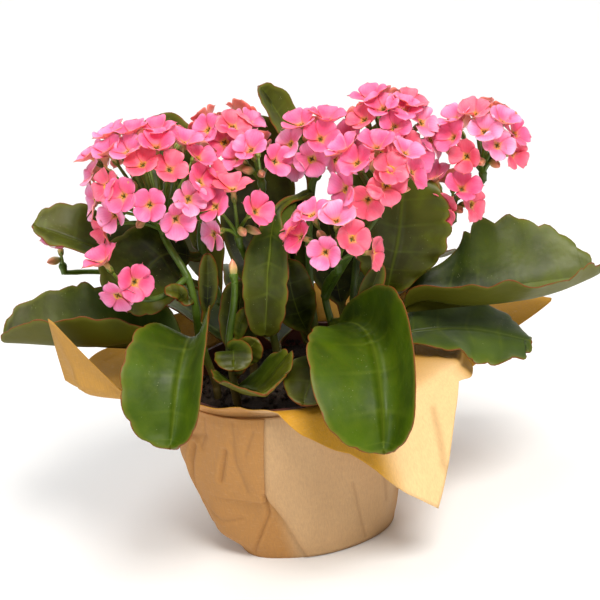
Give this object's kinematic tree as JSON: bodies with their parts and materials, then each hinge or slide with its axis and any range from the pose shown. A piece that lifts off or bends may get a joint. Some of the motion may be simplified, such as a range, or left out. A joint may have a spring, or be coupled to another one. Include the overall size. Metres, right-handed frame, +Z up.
{
  "type": "potted kalanchoe",
  "caption": "Pink-flowered kalanchoe with broad fleshy leaves, growing in a round nursery pot inside a loose kraft paper wrap; stands on its flat underside.",
  "frame": {"origin": "middle of the wrapped pot's flat underside", "axes": "+Z up, front towards -Y, +X to the right seen from the front"},
  "size_m": [0.2999, 0.1995, 0.2259],
  "materials": {
    "leaf_green": "satin",
    "stem_green": "satin",
    "petal_pink": "matte",
    "pot_plastic": "satin",
    "compost": "matte",
    "kraft_paper": "matte"
  },
  "bodies": {
    "root": {"bud_single": "petal_pink", "flowers_back_left": "petal_pink", "flowers_centre_top": "petal_pink", "flowers_far_left": "petal_pink", "flowers_left_dome": "petal_pink", "flowers_lower_front": "petal_pink", "flowers_lower_left": "petal_pink", "flowers_lower_middle": "petal_pink", "flowers_middle": "petal_pink", "flowers_right_dome": "petal_pink", "flowers_right_front": "petal_pink", "flowers_right_lower": "petal_pink", "flowers_top": "petal_pink", "leaf_back_left": "leaf_green", "leaf_back_round": "leaf_green", "leaf_bract": "leaf_green", "leaf_centre_dark": "leaf_green", "leaf_centre_hanging": "leaf_green", "leaf_front_cup": "leaf_green", "leaf_front_left": "leaf_green", "leaf_front_right": "leaf_green", "leaf_front_round": "leaf_green", "leaf_inner_front": "leaf_green", "leaf_inner_front_left": "leaf_green", "leaf_inner_right": "leaf_green", "leaf_left_high": "leaf_green", "leaf_left_low": "leaf_green", "leaf_left_middle": "leaf_green", "leaf_narrow_left": "leaf_green", "leaf_narrow_right": "leaf_green", "leaf_rear_left": "leaf_green", "leaf_rear_middle": "leaf_green", "leaf_rear_right": "leaf_green", "leaf_rear_tall": "leaf_green", "leaf_rear_upright": "leaf_green", "leaf_right_large": "leaf_green", "leaf_right_low": "leaf_green", "leaf_right_upright": "leaf_green", "leaf_tall_back": "leaf_green", "leaf_young_middle": "leaf_green", "leaf_young_pointed": "leaf_green", "leaf_young_scalloped": "leaf_green", "nursery_pot": "pot_plastic", "paper_wrap": "kraft_paper", "shoot_back_left": "stem_green", "shoot_back_right": "stem_green", "shoot_centre_right": "stem_green", "shoot_front_left": "stem_green", "shoot_front_right": "stem_green", "shoot_left": "stem_green", "shoot_middle": "stem_green", "shoot_right": "stem_green", "soil": "compost"}
  },
  "joints": []
}
